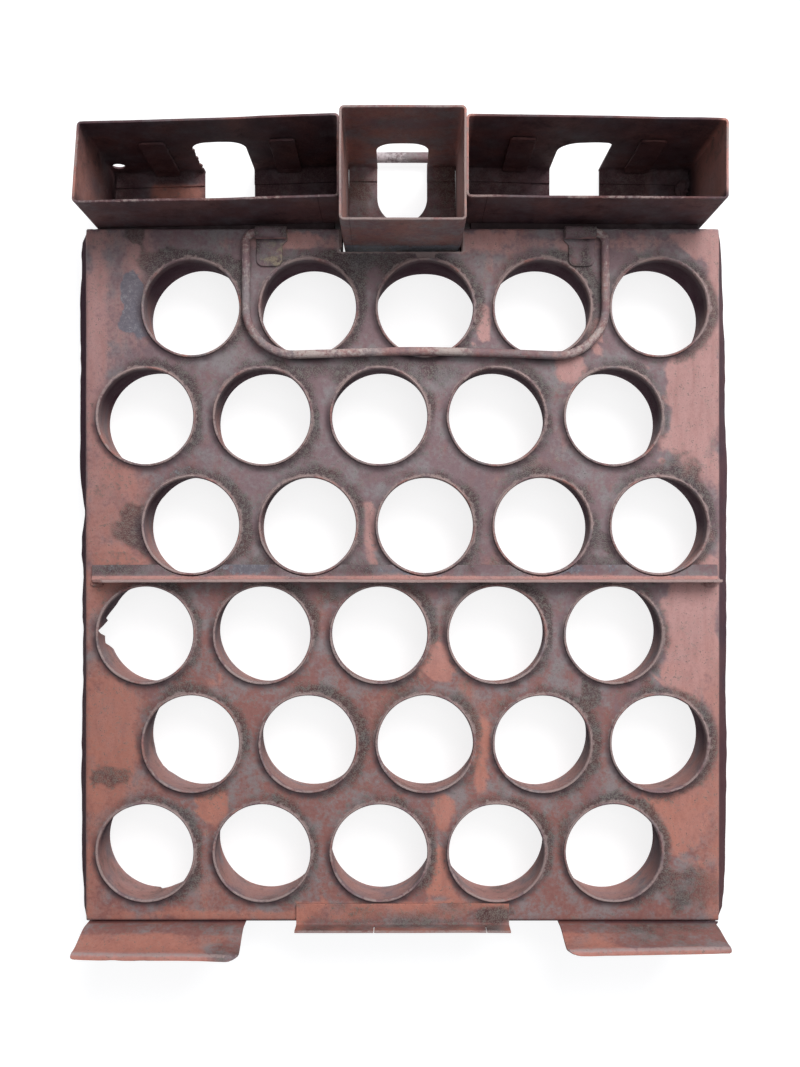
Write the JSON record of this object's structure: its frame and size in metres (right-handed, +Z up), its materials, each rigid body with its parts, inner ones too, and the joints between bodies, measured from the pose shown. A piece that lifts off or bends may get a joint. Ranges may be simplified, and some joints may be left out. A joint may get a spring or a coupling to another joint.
{
  "type": "milk bottle crate",
  "caption": "Flat sheet-steel crate for small milk bottles: a plate of staggered round collars, open boxes along one end, flared feet and a wire bail.",
  "frame": {"origin": "middle of the crate's footprint, on the surface that it lies on", "axes": "+Z up out of the face, towards someone putting bottles in; +Y from the feet to the three boxes; +X to the right"},
  "size_m": [0.4376, 0.5302, 0.098],
  "materials": {
    "plate_paint": "worn red-oxide paint over sheet steel, chalky, with grey scuffs and brown grime",
    "collar_paint": "worn red-oxide paint, rubbed to dull steel along the lips",
    "box_paint": "darkened red-oxide paint, soot brown inside, rubbed edges",
    "bail_wire": "thin worn red-brown paint on steel wire",
    "clip_steel": "worn paint with rust and grime",
    "rod_steel": "dull worn steel",
    "weld_steel": "painted weld bead, rough"
  },
  "bodies": {
    "crate": {"bottom_ledge": "plate_paint", "collar_row1_1": "collar_paint", "collar_row1_2": "collar_paint", "collar_row1_3": "collar_paint", "collar_row1_4": "collar_paint", "collar_row1_5": "collar_paint", "collar_row2_1": "collar_paint", "collar_row2_2": "collar_paint", "collar_row2_3": "collar_paint", "collar_row2_4": "collar_paint", "collar_row2_5": "collar_paint", "collar_row3_1": "collar_paint", "collar_row3_2": "collar_paint", "collar_row3_3": "collar_paint", "collar_row3_4": "collar_paint", "collar_row3_5": "collar_paint", "collar_row4_1": "collar_paint", "collar_row4_2": "collar_paint", "collar_row4_3": "collar_paint", "collar_row4_4": "collar_paint", "collar_row4_5": "collar_paint", "collar_row5_1": "collar_paint", "collar_row5_2": "collar_paint", "collar_row5_3": "collar_paint", "collar_row5_4": "collar_paint", "collar_row5_5": "collar_paint", "collar_row6_1": "collar_paint", "collar_row6_2": "collar_paint", "collar_row6_3": "collar_paint", "collar_row6_4": "collar_paint", "collar_row6_5": "collar_paint", "face_plate": "plate_paint", "hanger_rod": "rod_steel", "left_box_back": "box_paint", "left_box_inner_strap": "box_paint", "left_box_outer_strap": "box_paint", "left_box_packing": "box_paint", "left_box_shell": "box_paint", "left_clip": "clip_steel", "left_foot": "plate_paint", "middle_box_back": "box_paint", "middle_box_shell": "box_paint", "middle_rib": "plate_paint", "rib_welds": "weld_steel", "right_box_back": "box_paint", "right_box_inner_strap": "box_paint", "right_box_outer_strap": "box_paint", "right_box_packing": "box_paint", "right_box_shell": "box_paint", "right_clip": "clip_steel", "right_foot": "plate_paint", "rod_welds": "weld_steel"},
    "bail": {"bail_handle": "bail_wire"}
  },
  "joints": [
    {"name": "bail_swing", "type": "hinge", "parent": "crate", "child": "bail", "pos_m": [0.0151, 0.1969, 0.04643], "axis": [-1, 0, 0], "range_deg": [0, 96]}
  ]
}
